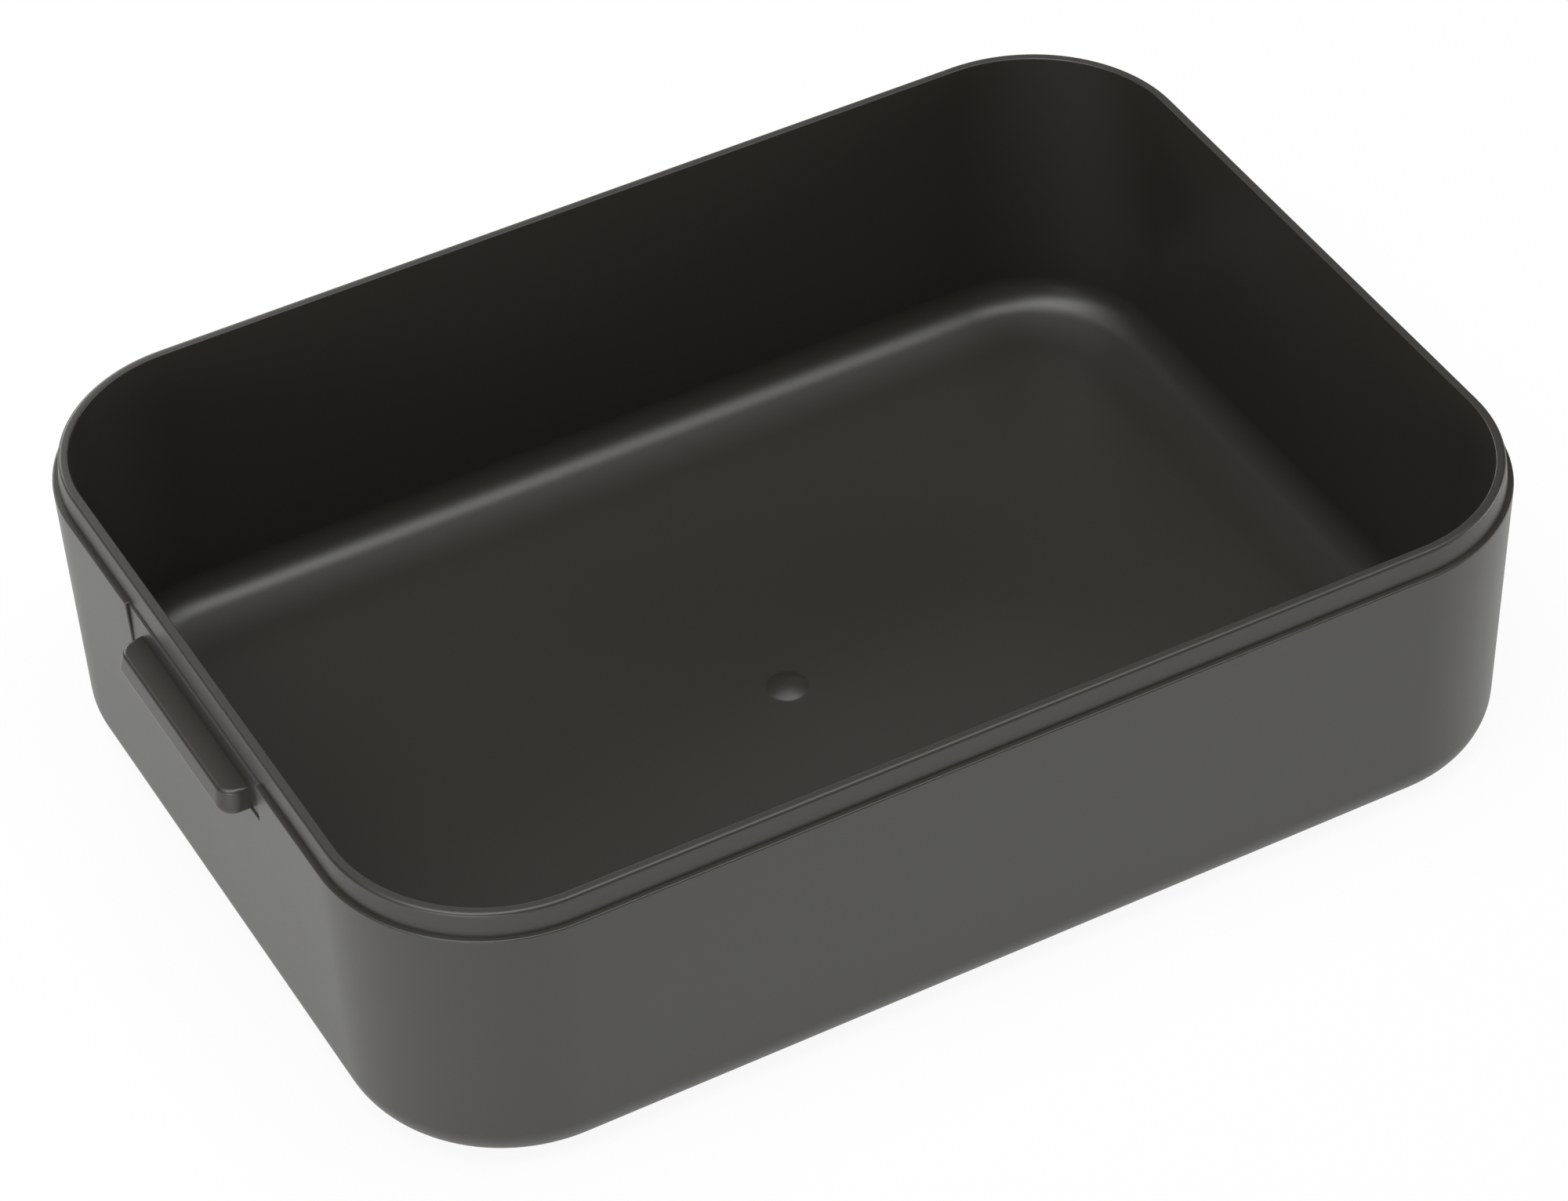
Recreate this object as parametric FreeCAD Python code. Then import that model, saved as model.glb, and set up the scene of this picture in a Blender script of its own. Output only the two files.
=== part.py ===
import FreeCAD, Part
import math
import os

# Open base tray of a lunch box, in millimetres. The origin is on the table under the tray's middle,
# X runs along the length and Z is up. A lid closes over the collar and its clips hook under the lips.

# Tray, outside
length = 250.0            # over the end walls, at the ledge
width = 182.2             # over the long walls, at the ledge
height = 65.5             # from the table to the rim
corner_radius = 34.8      # upright outer corners, at the ledge
wall_draft = 1.95         # lean of every wall, in degrees, so that the moulding leaves its mould
base_fillet = 9.0         # outer walls into the underside

# Collar that the lid closes over, and the ledge that the lid comes down on
collar_height = 5.15      # from the ledge to the rim
collar_thickness = 1.96   # at the rim
ledge_width = 1.15        # from the outer wall to the collar's foot
collar_draft = 6.0        # lean of the collar's outer face, in degrees, which leads the lid on
rim_outer_round = 0.8     # outer edge of the rim
rim_inner_round = 0.25    # inner edge of the rim
ledge_round = 0.35        # outer edge of the ledge

# Inside: the floor has a low crown, and its edge rises in a shallow dish that turns up into the walls
floor_height = 1.9        # from the table to the top of the floor, round the crown
dish_width = 9.75         # from the wall, carried down to the floor, to the foot of the slope
dish_slope = 13.5         # rise of the dish, in degrees
dish_round = 36.0         # floor into the dish
floor_fillet = 7.0        # dish into the inner walls
crown_diameter = 136.0    # of the crown in the middle of the floor
crown_rise = 1.5          # of the crown over the floor, and of the underside over the panel

# Underside: a foot ring round a panel that stands clear of the table
foot_height = 0.4         # from the table to the panel
foot_width = 6.0          # flat ring inside the base fillet

# Gate mark on top of the crown: a low dome inside, over a dimple in the underside
gate_dome_diameter = 9.4
gate_dome_height = 1.1
gate_dimple_diameter = 6.0
gate_dimple_depth = 0.8
gate_sink = 0.05          # foot of the dome and of the dimple below the crown's top

# Pocket in each end wall, from the ledge down to a shelf behind the lip
pocket_height = 9.4       # from the ledge to the pocket's shelf
pocket_depth = 0.7        # from the ledge's outer edge to the pocket's back
pocket_side_gap = 3.3     # from the lip's end to the pocket's end, at the shelf
pocket_draft = 3.0        # lean of the pocket's ends, in degrees

# Catch lip on each end wall, in the middle of the pocket
lip_length = 50.2         # along the end wall, at the underside
lip_overhang = 5.5        # past the ledge's outer edge, at the underside
lip_drop = 1.2            # from the pocket's shelf down to the underside
lip_thickness = 5.8       # from the underside to the top
lip_corner_radius = 3.5   # upright corners
lip_draft = 10.3          # lean of the lip's front and ends, in degrees
lip_round = 0.9           # top edge
lip_under_round = 2.0     # lower edge


def lean(draft, rise):
    """How far a face that leans by draft degrees moves sideways over a rise."""
    return math.tan(math.radians(draft)) * rise


# Places that follow from those sizes
ledge_z = height - collar_height
shelf_z = ledge_z - pocket_height
lip_z = shelf_z - lip_drop
lip_top_z = lip_z + lip_thickness
pocket_back = length / 2 - pocket_depth
lip_front = length / 2 + lip_overhang
rim_inset = ledge_width + lean(collar_draft, collar_height)
wall_thickness = rim_inset + collar_thickness


def rounded_outline(inset, z):
    """The tray's outline at the ledge, drawn in by inset and laid at height z."""
    half_x = length / 2 - inset
    half_y = width / 2 - inset
    radius = corner_radius - inset
    bend = radius * math.sqrt(0.5)
    edges = []
    for turn in range(4):
        side_x, side_y = (half_x, half_y) if turn % 2 == 0 else (half_y, half_x)
        start = FreeCAD.Vector(side_x, radius - side_y, z)
        end = FreeCAD.Vector(side_x, side_y - radius, z)
        middle = FreeCAD.Vector(side_x - radius + bend, side_y - radius + bend, z)
        corner_end = FreeCAD.Vector(side_x - radius, side_y, z)
        pair = [Part.LineSegment(start, end).toShape(), Part.Arc(end, middle, corner_end).toShape()]
        for edge in pair:
            edge.rotate(FreeCAD.Vector(0, 0, 0), FreeCAD.Vector(0, 0, 1), 90 * turn)
        edges += pair
    return Part.Wire(edges)


def upright_block(low_inset, low_z, high_inset, high_z):
    """A solid between two of the tray's outlines."""
    outlines = [rounded_outline(low_inset, low_z), rounded_outline(high_inset, high_z)]
    return Part.makeLoft(outlines, True, True)


def edges_at(shape, z):
    """The edges of a shape that lie at height z."""
    box_tolerance = 1e-4
    return [
        edge for edge in shape.Edges
        if abs(edge.BoundBox.ZMin - z) < box_tolerance and abs(edge.BoundBox.ZMax - z) < box_tolerance
    ]


def dome(diameter, rise, z, root):
    """A ball's cap of that diameter and rise on the plane z, with a straight root under it."""
    ball_radius = (diameter ** 2 / 4 + rise ** 2) / (2 * rise)
    ball = Part.makeSphere(ball_radius, FreeCAD.Vector(0, 0, z + rise - ball_radius))
    post = Part.makeCylinder(diameter / 2, root + rise, FreeCAD.Vector(0, 0, z - root))
    return ball.common(post)


def pocket_space():
    """The space that the left pocket takes out of the end wall, wider at the ledge than at its shelf."""
    half_low = lip_length / 2 + pocket_side_gap
    half_high = half_low + lean(pocket_draft, pocket_height)
    section = [
        FreeCAD.Vector(-pocket_back, -half_low, shelf_z),
        FreeCAD.Vector(-pocket_back, half_low, shelf_z),
        FreeCAD.Vector(-pocket_back, half_high, ledge_z),
        FreeCAD.Vector(-pocket_back, -half_high, ledge_z),
    ]
    face = Part.Face(Part.makePolygon(section + section[:1]))
    return face.extrude(FreeCAD.Vector(pocket_back - lip_front, 0, 0))


def lip_outline(inset, z):
    """The left lip's outline, drawn in by inset at its front and ends."""
    front = inset - lip_front
    half = lip_length / 2 - inset
    bend_x = front + lip_corner_radius
    bend_y = half - lip_corner_radius
    bend = lip_corner_radius * math.sqrt(0.5)
    points = {
        "back_low": FreeCAD.Vector(-pocket_back, -half, z),
        "end_low": FreeCAD.Vector(bend_x, -half, z),
        "turn_low": FreeCAD.Vector(bend_x - bend, -bend_y - bend, z),
        "front_low": FreeCAD.Vector(front, -bend_y, z),
        "front_high": FreeCAD.Vector(front, bend_y, z),
        "turn_high": FreeCAD.Vector(bend_x - bend, bend_y + bend, z),
        "end_high": FreeCAD.Vector(bend_x, half, z),
        "back_high": FreeCAD.Vector(-pocket_back, half, z),
    }
    curves = [
        Part.LineSegment(points["back_low"], points["end_low"]),
        Part.Arc(points["end_low"], points["turn_low"], points["front_low"]),
        Part.LineSegment(points["front_low"], points["front_high"]),
        Part.Arc(points["front_high"], points["turn_high"], points["end_high"]),
        Part.LineSegment(points["end_high"], points["back_high"]),
        Part.LineSegment(points["back_high"], points["back_low"]),
    ]
    return Part.Wire([curve.toShape() for curve in curves])


def make_lip():
    """The left lip that a clip hooks under, from the pocket's back to its front."""
    underside = lip_outline(0, lip_z)
    top = lip_outline(lean(lip_draft, lip_thickness), lip_top_z)
    lip = Part.makeLoft([underside, top], True, True)
    for z, size in ((lip_top_z, lip_round), (lip_z, lip_under_round)):
        outer_edges = [edge for edge in edges_at(lip, z) if edge.BoundBox.XMin < -pocket_back - size]
        lip = lip.makeFillet(size, outer_edges)
    return lip


def make_hollow():
    """The space inside the tray over a flat floor: the dished edge and the leaning walls."""
    slope = math.tan(math.radians(dish_slope))
    wall_slope = math.tan(math.radians(wall_draft))
    dish_rise = dish_width * slope / (1 - slope * wall_slope)
    dish_z = floor_height + dish_rise
    floor_inset = wall_thickness + lean(wall_draft, height - floor_height) + dish_width
    dish_inset = wall_thickness + lean(wall_draft, height - dish_z)
    outlines = [
        rounded_outline(floor_inset, floor_height),
        rounded_outline(dish_inset, dish_z),
        rounded_outline(wall_thickness, height),
    ]
    hollow = Part.makeLoft(outlines, True, True)
    hollow = hollow.makeFillet(floor_fillet, edges_at(hollow, dish_z))
    return hollow.makeFillet(dish_round, edges_at(hollow, floor_height))


def make_shell():
    """Floor, walls and collar in one moulding, with the foot ring, the crown and the gate mark."""
    body = upright_block(lean(wall_draft, ledge_z), 0, 0, ledge_z)
    body = body.makeFillet(base_fillet, edges_at(body, 0))
    body = body.makeFillet(ledge_round, edges_at(body, ledge_z))
    collar = upright_block(ledge_width, ledge_z, rim_inset, height)
    collar = collar.makeFillet(rim_outer_round, edges_at(collar, height))
    shell = body.fuse(collar).cut(make_hollow()).removeSplitter()
    inner_rim = rounded_outline(wall_thickness, height)
    rim_edges = edges_at(shell, height)
    inner_edges = [edge for edge in rim_edges if edge.distToShape(inner_rim)[0] < rim_inner_round / 2]
    shell = shell.makeFillet(rim_inner_round, inner_edges)

    foot_inset = lean(wall_draft, ledge_z) + base_fillet + foot_width
    shell = shell.cut(upright_block(foot_inset, 0, foot_inset, foot_height))
    root = (floor_height - foot_height) / 2
    shell = shell.fuse(dome(crown_diameter, crown_rise, floor_height, root))
    shell = shell.cut(dome(crown_diameter, crown_rise, foot_height, foot_height))
    gate_z = crown_rise - gate_sink
    shell = shell.fuse(dome(gate_dome_diameter, gate_dome_height, floor_height + gate_z, root))
    return shell.cut(dome(gate_dimple_diameter, gate_dimple_depth, foot_height + gate_z, gate_z))


def mirrored(shape):
    """The same shape at the other end of the tray."""
    return shape.mirror(FreeCAD.Vector(0, 0, 0), FreeCAD.Vector(1, 0, 0))


# The pocket is sunk round the lip's root, which stays in the wall, and the lip meets the wall's face.
whole_lip = make_lip()
left_pocket = pocket_space().cut(whole_lip)
tray = make_shell().cut(left_pocket).cut(mirrored(left_pocket))
left_lip = whole_lip.cut(tray)

pieces = {"tray": tray, "catch_lip_left": left_lip, "catch_lip_right": mirrored(left_lip)}
os.makedirs("parts", exist_ok=True)
for node, shape in pieces.items():
    shape.exportStep(f"parts/{node}.step")
    print(node, "solids", len(shape.Solids), "valid", shape.isValid(), "volume", round(shape.Volume, 1))
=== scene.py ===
import math

import bmesh
import bpy
from mathutils import Matrix, Vector


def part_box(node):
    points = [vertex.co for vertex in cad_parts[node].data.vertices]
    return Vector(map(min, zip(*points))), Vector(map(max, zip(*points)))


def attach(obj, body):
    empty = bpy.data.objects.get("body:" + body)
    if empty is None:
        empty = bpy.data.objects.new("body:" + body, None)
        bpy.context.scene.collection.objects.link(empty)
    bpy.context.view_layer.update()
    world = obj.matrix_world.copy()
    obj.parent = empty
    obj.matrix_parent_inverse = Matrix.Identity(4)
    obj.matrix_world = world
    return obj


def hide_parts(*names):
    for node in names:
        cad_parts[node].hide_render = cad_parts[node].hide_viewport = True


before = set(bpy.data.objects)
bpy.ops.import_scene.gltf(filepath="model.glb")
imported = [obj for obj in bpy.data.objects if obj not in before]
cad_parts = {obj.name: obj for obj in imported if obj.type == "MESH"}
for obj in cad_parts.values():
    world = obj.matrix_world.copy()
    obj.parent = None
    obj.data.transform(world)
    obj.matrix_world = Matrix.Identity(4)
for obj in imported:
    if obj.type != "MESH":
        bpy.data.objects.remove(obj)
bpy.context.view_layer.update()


# Tray: the open body of the lunch box, one injection moulding in charcoal plastic with a satin skin.
# Its walls lean out so that it leaves the mould, a thin collar stands up inside the ledge for the lid,
# and the gate in the middle of the floor leaves a low dome.
tray_low, tray_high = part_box("tray")
tray_length = tray_high.x - tray_low.x
tray_width = tray_high.y - tray_low.y
rim_z = tray_high.z
corner_radius = 0.0348
corner_steps = 28
side_steps = 10
wall_lean = math.radians(1.95)
collar_height = 0.00515
collar_thickness = 0.00196
ledge_width = 0.00115
collar_lean = math.radians(6.0)
rim_outer_round = 0.0008
rim_inner_round = 0.00025
ledge_round = 0.00035
ledge_steps = 3
edge_steps = 4
floor_z = 0.0019
floor_fillet = 0.007
dish_slope = math.radians(13.5)
dish_run = 0.0005
dish_round = 0.036
base_fillet = 0.009
fillet_steps = 16
foot_width = 0.006
foot_height = 0.0004
crown_radius = 0.068
crown_height = 0.0015
crown_steps = 14
dome_radius = 0.0047
dome_height = 0.00095
dimple_radius = 0.003
dimple_depth = 0.0008
dome_steps = 8
dome_flat_share = 0.5
round_sides = 64
ledge_z = rim_z - collar_height
pocket_height = 0.0094
pocket_back = tray_length / 2 - 0.0007
pocket_half_length = 0.0284
pocket_lean = math.radians(3.0)
shelf_z = ledge_z - pocket_height
wall_slack = 0.002
facing_share = 0.9
nearly_zero = 0.00001


def ring_in(mesh, face, inset, travel):
    """Draws a face's edge in by inset and moves the face by travel along its normal, as a ring of quads."""
    bmesh.ops.inset_region(
        mesh, faces=[face], thickness=inset, depth=travel, use_even_offset=True, use_boundary=True
    )


def ring_in_wall(mesh, face, drop, direction):
    """Runs a leaning wall from a face's edge, down by drop, where direction is +1 along the normal."""
    ring_in(mesh, face, math.tan(wall_lean) * drop, direction * drop)


def ring_in_round(mesh, face, radius, start, end, direction, steps):
    """Turns in a round of that radius between two lines, given as angles from the upright."""
    angles = [start + (end - start) * step / steps for step in range(steps + 1)]
    for low, high in zip(angles, angles[1:]):
        inset = radius * (math.cos(low) - math.cos(high))
        travel = radius * (math.sin(high) - math.sin(low))
        ring_in(mesh, face, inset, direction * travel)


def round_middle(mesh, face, radius):
    """Divides a flat face into a round face of that radius in the tray's middle and a border round it."""
    rim = list(face.edges)
    flat = face.normal.copy()
    mesh.faces.remove(face)
    circle = bmesh.ops.create_circle(
        mesh, segments=round_sides, radius=radius, matrix=Matrix.Translation((0, 0, rim[0].verts[0].co.z))
    )
    circle_edges = list(dict.fromkeys(edge for vert in circle["verts"] for edge in vert.link_edges))
    bmesh.ops.triangle_fill(mesh, edges=rim + circle_edges, use_beauty=True, normal=flat)
    middle = bmesh.ops.holes_fill(mesh, edges=circle_edges, sides=0)["faces"][0]
    middle.normal_update()
    if middle.normal.dot(flat) < 0:
        middle.normal_flip()
    return middle


def raise_crown(mesh, face, outer, inner, rise):
    """Swells a round face into a low crown that leaves the flat smoothly, down to an inner radius."""
    radii = [outer + (inner - outer) * step / crown_steps for step in range(crown_steps + 1)]
    heights = [rise * (1 - (radius / outer) ** 2) ** 2 for radius in radii]
    for step in range(crown_steps):
        ring_in(mesh, face, radii[step] - radii[step + 1], heights[step + 1] - heights[step])


def raise_dome(mesh, face, radius, rise):
    """Raises a round face into a ball's cap of that rise, with a small flat left in its middle."""
    ball_radius = (radius ** 2 + rise ** 2) / (2 * rise)
    half_angle = math.asin(radius / ball_radius)
    all_steps = dome_steps + dome_flat_share
    angles = [half_angle * (1 - step / all_steps) for step in range(dome_steps + 1)]
    for outer, inner in zip(angles, angles[1:]):
        inset = ball_radius * (math.sin(outer) - math.sin(inner))
        ring_in(mesh, face, inset, ball_radius * (math.cos(inner) - math.cos(outer)))


def sink_pocket(mesh, side):
    """Sinks the pocket for a lid's clip into the end wall on one side, open at the ledge."""
    back_x = side * pocket_back
    end_y = math.cos(pocket_lean)
    end_z = -math.sin(pocket_lean)
    planes = [
        (Vector((0, 0, shelf_z)), Vector((0, 0, 1))),
        (Vector((back_x, 0, 0)), Vector((1, 0, 0))),
        (Vector((0, pocket_half_length, shelf_z)), Vector((0, end_y, end_z))),
        (Vector((0, -pocket_half_length, shelf_z)), Vector((0, -end_y, end_z))),
    ]

    def near_pocket(face):
        middle = face.calc_center_median()
        at_end = middle.x * side > pocket_back - wall_slack
        on_straight = abs(middle.y) < tray_width / 2 - corner_radius
        on_wall = face.normal.x * side > facing_share and middle.z < ledge_z
        on_ledge = abs(face.normal.z) > facing_share and abs(middle.z - ledge_z) < nearly_zero
        return at_end and on_straight and (on_wall or on_ledge)

    for spot, across in planes:
        faces = [face for face in mesh.faces if near_pocket(face)]
        edges = list(dict.fromkeys(edge for face in faces for edge in face.edges))
        verts = list(dict.fromkeys(vert for face in faces for vert in face.verts))
        bmesh.ops.bisect_plane(
            mesh, geom=faces + edges + verts, plane_co=spot, plane_no=across, dist=nearly_zero / 10,
        )

    def inside(face):
        middle = face.calc_center_median()
        reach = pocket_half_length + math.tan(pocket_lean) * (middle.z - shelf_z)
        between = middle.z > shelf_z and abs(middle.y) < reach
        return near_pocket(face) and between and middle.x * side > pocket_back

    cells = [face for face in mesh.faces if inside(face)]
    wall_cells = [face for face in cells if abs(face.normal.x) > facing_share]
    ledge_cells = [face for face in cells if abs(face.normal.z) > facing_share]
    sunk = bmesh.ops.extrude_face_region(mesh, geom=wall_cells)["geom"]
    sunk_verts = [item for item in sunk if isinstance(item, bmesh.types.BMVert)]
    bmesh.ops.scale(mesh, verts=sunk_verts, vec=(0, 1, 1), space=Matrix.Translation((-back_x, 0, 0)))
    top_faces = [
        face for vert in sunk_verts for face in vert.link_faces
        if all(abs(corner.co.z - ledge_z) < nearly_zero for corner in face.verts)
        and all(corner.co.x * side > pocket_back - nearly_zero for corner in face.verts)
    ]
    spare_faces = list(dict.fromkeys(top_faces + ledge_cells + wall_cells))
    bmesh.ops.delete(mesh, geom=spare_faces, context="FACES")
    bmesh.ops.remove_doubles(mesh, verts=mesh.verts, dist=nearly_zero)


tray_mesh = bmesh.new()
bmesh.ops.create_grid(tray_mesh, x_segments=1, y_segments=1, size=0.5)
bmesh.ops.scale(tray_mesh, vec=(tray_length, tray_width, 1), verts=tray_mesh.verts)
bmesh.ops.translate(tray_mesh, vec=(0, 0, ledge_z), verts=tray_mesh.verts)
bmesh.ops.bevel(
    tray_mesh, geom=tray_mesh.verts[:], affect="VERTICES", offset=corner_radius,
    segments=corner_steps, profile=0.5, material=-1,
)
straights = [edge for edge in tray_mesh.edges if edge.calc_length() > corner_radius]
bmesh.ops.subdivide_edges(tray_mesh, edges=straights, cuts=side_steps)
tray_mesh.faces.ensure_lookup_table()
inside_face = tray_mesh.faces[0]

level_line = math.pi / 2
dish_line = level_line - dish_slope
ring_in(tray_mesh, inside_face, ledge_width, 0)
collar_rise = collar_height - rim_outer_round * (1 - math.sin(collar_lean))
ring_in(tray_mesh, inside_face, collar_rise * math.tan(collar_lean), collar_rise)
ring_in_round(tray_mesh, inside_face, rim_outer_round, collar_lean, level_line, 1, edge_steps)
outer_drop = collar_height - collar_rise
outer_share = rim_outer_round * math.cos(collar_lean) - outer_drop * math.tan(collar_lean)
rim_drop = rim_inner_round * (1 - math.sin(wall_lean))
inner_share = rim_inner_round * math.cos(wall_lean) - rim_drop * math.tan(wall_lean)
ring_in(tray_mesh, inside_face, collar_thickness - outer_share - inner_share, 0)
ring_in_round(tray_mesh, inside_face, rim_inner_round, level_line, math.pi - wall_lean, 1, edge_steps)
dish_drop = dish_run * math.tan(dish_slope)
dish_rise = dish_round * (1 - math.cos(dish_slope)) + dish_drop
fillet_rise = floor_fillet * (math.cos(dish_slope) - math.sin(wall_lean))
ring_in_wall(tray_mesh, inside_face, rim_z - rim_drop - floor_z - dish_rise - fillet_rise, -1)
ring_in_round(tray_mesh, inside_face, floor_fillet, wall_lean, dish_line, -1, fillet_steps)
ring_in(tray_mesh, inside_face, dish_run, -dish_drop)
ring_in_round(tray_mesh, inside_face, dish_round, dish_line, level_line, -1, fillet_steps)
floor_middle = round_middle(tray_mesh, inside_face, crown_radius)
raise_crown(tray_mesh, floor_middle, crown_radius, dome_radius, crown_height)
raise_dome(tray_mesh, floor_middle, dome_radius, dome_height)

outline = [edge for edge in tray_mesh.edges if edge.is_boundary]
underside = bmesh.ops.holes_fill(tray_mesh, edges=outline, sides=0)["faces"][0]
underside.normal_update()
if underside.normal.z > 0:
    underside.normal_flip()
ring_in_wall(tray_mesh, underside, ledge_z - base_fillet * (1 - math.sin(wall_lean)), 1)
ring_in_round(tray_mesh, underside, base_fillet, wall_lean, level_line, 1, fillet_steps)
ring_in(tray_mesh, underside, foot_width, 0)
ring_in(tray_mesh, underside, 0, -foot_height)
panel_middle = round_middle(tray_mesh, underside, crown_radius)
raise_crown(tray_mesh, panel_middle, crown_radius, dimple_radius, -crown_height)
raise_dome(tray_mesh, panel_middle, dimple_radius, -dimple_depth)
bmesh.ops.recalc_face_normals(tray_mesh, faces=tray_mesh.faces)

sink_pocket(tray_mesh, -1)
sink_pocket(tray_mesh, 1)


def level(edge, z):
    """Says whether both ends of an edge lie at height z."""
    return all(abs(vert.co.z - z) < nearly_zero for vert in edge.verts)


outer_corner = math.radians(40)


def sharp(edge):
    """Says whether an edge is an outer corner that the rings left sharp."""
    return len(edge.link_faces) == 2 and edge.is_convex and edge.calc_face_angle() > outer_corner


ledge_edges = [edge for edge in tray_mesh.edges if sharp(edge) and level(edge, ledge_z)]
pocket_edges = [
    edge for edge in tray_mesh.edges
    if sharp(edge) and edge not in ledge_edges and edge.verts[0].co.z > shelf_z - nearly_zero
    and max(vert.co.z for vert in edge.verts) < ledge_z + nearly_zero
]
bmesh.ops.bevel(
    tray_mesh, geom=ledge_edges + pocket_edges, affect="EDGES", offset=ledge_round,
    segments=ledge_steps, profile=0.5, material=-1,
)
bmesh.ops.remove_doubles(tray_mesh, verts=tray_mesh.verts, dist=nearly_zero / 10)
bmesh.ops.recalc_face_normals(tray_mesh, faces=tray_mesh.faces)


class Shade:
    """A socket in a material's nodes. Sums and products of such sockets add the Math nodes they need."""

    def __init__(self, tree, socket=None):
        self.tree = tree
        self.socket = socket

    def node(self, kind, settings, inputs, output=0):
        made = self.tree.nodes.new(kind)
        for name, value in settings.items():
            setattr(made, name, value)
        for name, value in inputs.items():
            if isinstance(value, Shade):
                self.tree.links.new(value.socket, made.inputs[name])
            else:
                made.inputs[name].default_value = value
        return Shade(self.tree, made.outputs[output] if made.outputs else None)

    def maths(self, operation, first, second):
        return self.node("ShaderNodeMath", {"operation": operation}, {0: first, 1: second})

    def __add__(self, other):
        return self.maths("ADD", self, other)

    def __mul__(self, other):
        return self.maths("MULTIPLY", self, other)

    __radd__ = __add__
    __rmul__ = __mul__


def new_material(name):
    """An empty node material, and the wrapper that its first nodes are added with."""
    material = bpy.data.materials.new(name)
    material.use_nodes = True
    material.node_tree.nodes.clear()
    start = Shade(material.node_tree)
    return material, start


plastic, paint = new_material("charcoal_satin_plastic")
plastic_dark = (0.0269, 0.0254, 0.0215, 1)
plastic_light = (0.0303, 0.0286, 0.0243, 1)
plastic_index = 1.6
smoothest = 0.325
cloud_scale = 16
cloud_tint = 0.6
cloud_roughness = 0.06
speckle_scale = 1400
speckle_tint = 0.4
speckle_roughness = 0.04
grain_scale = 2600
grain_strength = 0.12
grain_depth = 0.00002
first_colour, second_colour, mixed_colour = 6, 7, 2  # the colour sockets of a Mix node
place = paint.node("ShaderNodeTexCoord", {}, {}, "Object")


def mottle(scale, detail, fall_off):
    """A soft noise through the plastic, with that many patches to the metre."""
    inputs = {"Vector": place, "Scale": scale, "Detail": detail, "Roughness": fall_off}
    return paint.node("ShaderNodeTexNoise", {}, inputs)


cloudy = mottle(cloud_scale, detail=3, fall_off=0.5)
speckle = mottle(speckle_scale, detail=2, fall_off=0.6)
grain = mottle(grain_scale, detail=2, fall_off=0.5)
tint = cloudy * cloud_tint + speckle * speckle_tint
colour = paint.node(
    "ShaderNodeMix", {"data_type": "RGBA"},
    {"Factor": tint, first_colour: plastic_dark, second_colour: plastic_light}, mixed_colour,
)
roughness = smoothest + cloudy * cloud_roughness + speckle * speckle_roughness
skin = paint.node(
    "ShaderNodeBump", {}, {"Strength": grain_strength, "Distance": grain_depth, "Height": grain}
)
satin = paint.node(
    "ShaderNodeBsdfPrincipled", {},
    {"Base Color": colour, "Roughness": roughness, "IOR": plastic_index, "Normal": skin},
)
paint.node("ShaderNodeOutputMaterial", {}, {"Surface": satin})


crease_angle = math.radians(38)
flat_weight = 60


def finished_piece(name, mesh, material):
    """Makes a smooth-shaded object from a bmesh, with its flats kept flat up to their rounded edges."""
    data = bpy.data.meshes.new(name)
    for face in mesh.faces:
        face.smooth = True
    for edge in mesh.edges:
        edge.smooth = len(edge.link_faces) == 2 and edge.calc_face_angle() < crease_angle
    mesh.to_mesh(data)
    mesh.free()
    data.materials.append(material)
    piece = bpy.data.objects.new(name, data)
    bpy.context.collection.objects.link(piece)
    even = piece.modifiers.new("flats", "WEIGHTED_NORMAL")
    even.weight = flat_weight
    even.keep_sharp = True
    return piece


tray = finished_piece("tray_moulding", tray_mesh, plastic)
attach(tray, "root")
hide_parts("tray")


# Catch lips: a short bar across the middle of each end wall, moulded with the wall in the same plastic.
# Each stands in a shallow pocket, and the hook of a lid's clip swings down in front of it and under it.
lip_length = 0.0502
lip_overhang = 0.0055
lip_drop = 0.0012
lip_thickness = 0.0058
lip_corner_radius = 0.0035
lip_lean = math.radians(10.3)
lip_round = 0.0009
lip_under_round = 0.0020
lip_steps = 10
lip_root = 0.0002
lip_depth = tray_length / 2 + lip_overhang - pocket_back + lip_root
lip_z = shelf_z - lip_drop


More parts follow.
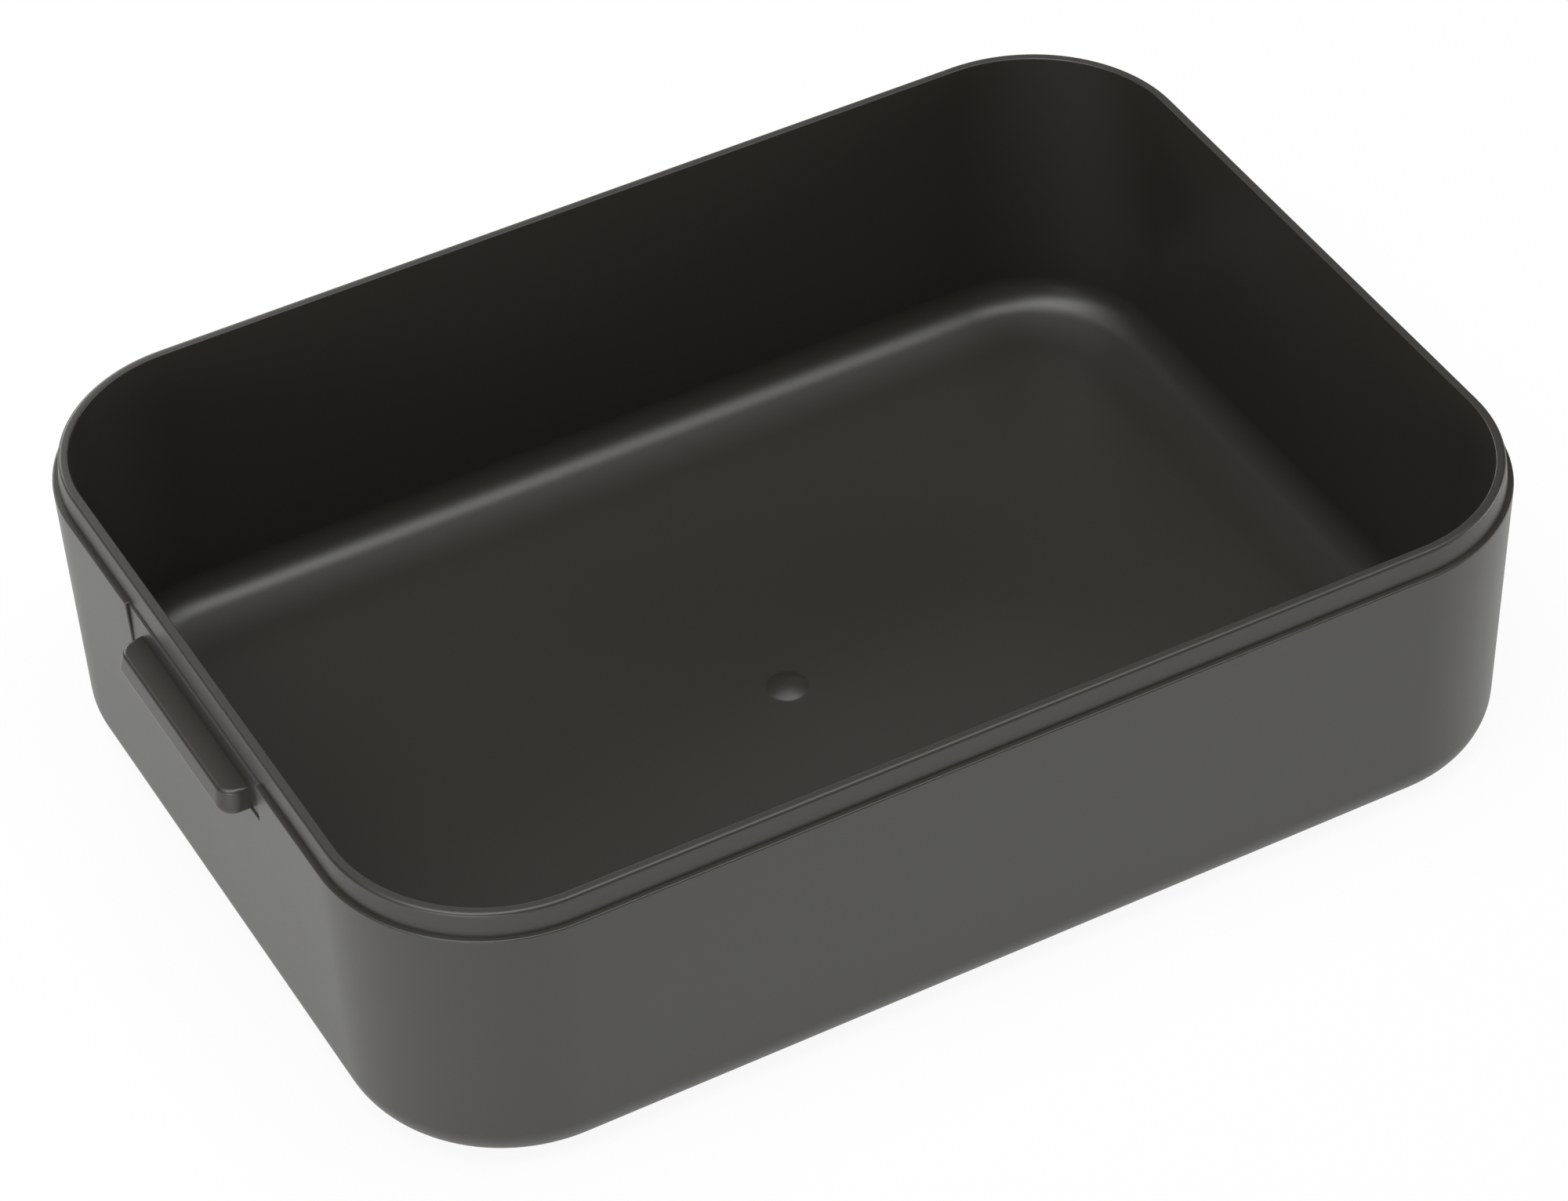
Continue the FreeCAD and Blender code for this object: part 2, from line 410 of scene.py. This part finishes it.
def lip_bar(turn):
    """A lip at the right end wall, turned round the tray's middle by that angle."""
    bar = bmesh.new()
    bmesh.ops.create_cube(bar, size=1)
    bmesh.ops.scale(bar, verts=bar.verts, vec=(lip_depth, lip_length, lip_thickness))
    middle = (pocket_back - lip_root + lip_depth / 2, 0, lip_z + lip_thickness / 2)
    bmesh.ops.translate(bar, verts=bar.verts, vec=middle)
    top_z = lip_z + lip_thickness
    draw_in = math.tan(lip_lean) * lip_thickness
    top = [vert for vert in bar.verts if vert.co.z > top_z - nearly_zero]
    bmesh.ops.scale(
        bar, verts=top, vec=(1 - draw_in / lip_depth, 1 - 2 * draw_in / lip_length, 1),
        space=Matrix.Translation((lip_root - pocket_back, 0, 0)),
    )
    front_x = pocket_back + wall_slack
    corners = [edge for edge in bar.edges if not level(edge, lip_z) and not level(edge, top_z)]
    corners = [edge for edge in corners if min(vert.co.x for vert in edge.verts) > front_x]
    bmesh.ops.bevel(
        bar, geom=corners, affect="EDGES", offset=lip_corner_radius, segments=lip_steps, profile=0.5,
        material=-1,
    )
    top_corner = level_line + lip_lean
    low_corner = level_line - lip_lean
    for z, size, corner in ((top_z, lip_round, top_corner), (lip_z, lip_under_round, low_corner)):
        edges = [
            edge for edge in bar.edges
            if level(edge, z) and max(vert.co.x for vert in edge.verts) > front_x
        ]
        bmesh.ops.bevel(
            bar, geom=edges, affect="EDGES", offset=size / math.tan(corner / 2), segments=lip_steps,
            profile=0.5, material=-1,
        )
    bmesh.ops.rotate(bar, verts=bar.verts, matrix=Matrix.Rotation(turn, 3, "Z"))
    bmesh.ops.recalc_face_normals(bar, faces=bar.faces)
    return bar


for name, node, turn in (
    ("catch_lip_left_bar", "catch_lip_left", math.pi),
    ("catch_lip_right_bar", "catch_lip_right", 0),
):
    lip = finished_piece(name, lip_bar(turn), plastic)
    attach(lip, "root")
    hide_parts(node)


# Table: a plain matt white sheet that the tray stands on, large enough to fill the view on every side.
# The camera sees it white, the satin plastic mirrors it a little greyer, and the tray's soft shadow
# stays on it.
table_reach = 12.0
table_white = (0.9, 0.9, 0.9, 1)
pure_white = (1, 1, 1, 1)
camera_glow = 0.92
gloss_glow = 0.6
table_mesh = bmesh.new()
bmesh.ops.create_grid(table_mesh, x_segments=1, y_segments=1, size=table_reach)
table_data = bpy.data.meshes.new("table")
table_mesh.to_mesh(table_data)
table_mesh.free()
sheet, sheet_paint = new_material("matt_white_table")
path = sheet_paint.tree.nodes.new("ShaderNodeLightPath")
by_camera = Shade(sheet_paint.tree, path.outputs["Is Camera Ray"])
by_gloss = Shade(sheet_paint.tree, path.outputs["Is Glossy Ray"])
through = Shade(sheet_paint.tree, path.outputs["Is Transmission Ray"])
matt = sheet_paint.node("ShaderNodeBsdfDiffuse", {}, {"Color": table_white})
bright = sheet_paint.node("ShaderNodeEmission", {}, {"Color": pure_white, "Strength": 1.0})
glow = (by_camera + through) * camera_glow + by_gloss * gloss_glow
mixed = sheet_paint.node("ShaderNodeMixShader", {}, {0: glow, 1: matt, 2: bright})
sheet_paint.node("ShaderNodeOutputMaterial", {}, {"Surface": mixed})
table_data.materials.append(sheet)
table = bpy.data.objects.new("table", table_data)
bpy.context.collection.objects.link(table)


# Studio light: a dim even room, a softbox overhead, one high on each side, one lower at the left and a
# weak one at the back right, and three low strip boxes that draw out the outer walls, rim and lips.
room_brightness = 0.02
softbox_distance = 2.0
room = bpy.data.worlds.new("dim_room")
bpy.context.scene.world = room
room.use_nodes = True
air = room.node_tree.nodes["Background"]
air.inputs["Color"].default_value = pure_white
air.inputs["Strength"].default_value = room_brightness


def softbox(name, azimuth, elevation, width, height, brightness):
    """A rectangular lamp that faces the tray. Its azimuth runs from the front towards the right."""
    lamp = bpy.data.lights.new(name, "AREA")
    lamp.shape = "RECTANGLE"
    lamp.size = width
    lamp.size_y = height
    lamp.energy = math.pi * width * height * brightness
    around = math.radians(azimuth)
    above = math.radians(elevation)
    level_share = math.cos(above)
    towards = Vector((math.sin(around) * level_share, -math.cos(around) * level_share, math.sin(above)))
    holder = bpy.data.objects.new(name, lamp)
    holder.location = towards * softbox_distance
    holder.rotation_euler = towards.to_track_quat("Z", "Y").to_euler()
    bpy.context.collection.objects.link(holder)


softbox("overhead_softbox", azimuth=0, elevation=90, width=1.6, height=1.6, brightness=1.95)
softbox("high_left_softbox", azimuth=300, elevation=65, width=1.2, height=1.2, brightness=3.1)
softbox("high_right_softbox", azimuth=60, elevation=65, width=1.2, height=1.2, brightness=1.8)
softbox("left_softbox", azimuth=280, elevation=45, width=1.2, height=1.2, brightness=1.25)
softbox("back_right_softbox", azimuth=152, elevation=27, width=1.4, height=0.5, brightness=0.8)
softbox("back_strip", azimuth=185, elevation=22, width=1.4, height=0.45, brightness=7.5)
softbox("right_strip", azimuth=75, elevation=9, width=1.4, height=0.5, brightness=5.6)
softbox("front_left_strip", azimuth=315, elevation=9, width=1.4, height=0.5, brightness=5.9)


# Camera: a long lens a little over a metre away, looking down over the left end and the near long wall.
# It is rolled a little, so that the tray lies in the frame as it does in the photograph.
camera_aim = Vector((0.0060, 0.0116, 0.01474))
camera_azimuth = math.radians(-27.224)
camera_elevation = math.radians(41.53)
camera_roll = math.radians(2.423)
camera_distance = 1.162995
camera_data = bpy.data.cameras.new("camera")
camera_data.sensor_width = 36
camera_data.lens = 133.664
camera = bpy.data.objects.new("camera", camera_data)
back = Vector((
    math.sin(camera_azimuth) * math.cos(camera_elevation),
    -math.cos(camera_azimuth) * math.cos(camera_elevation),
    math.sin(camera_elevation),
))
camera.location = camera_aim + back * camera_distance
turned = back.to_track_quat("Z", "Y").to_matrix() @ Matrix.Rotation(-camera_roll, 3, "Z")
camera.rotation_euler = turned.to_euler()
bpy.context.collection.objects.link(camera)
bpy.context.scene.camera = camera
bpy.context.scene.view_settings.view_transform = "Standard"
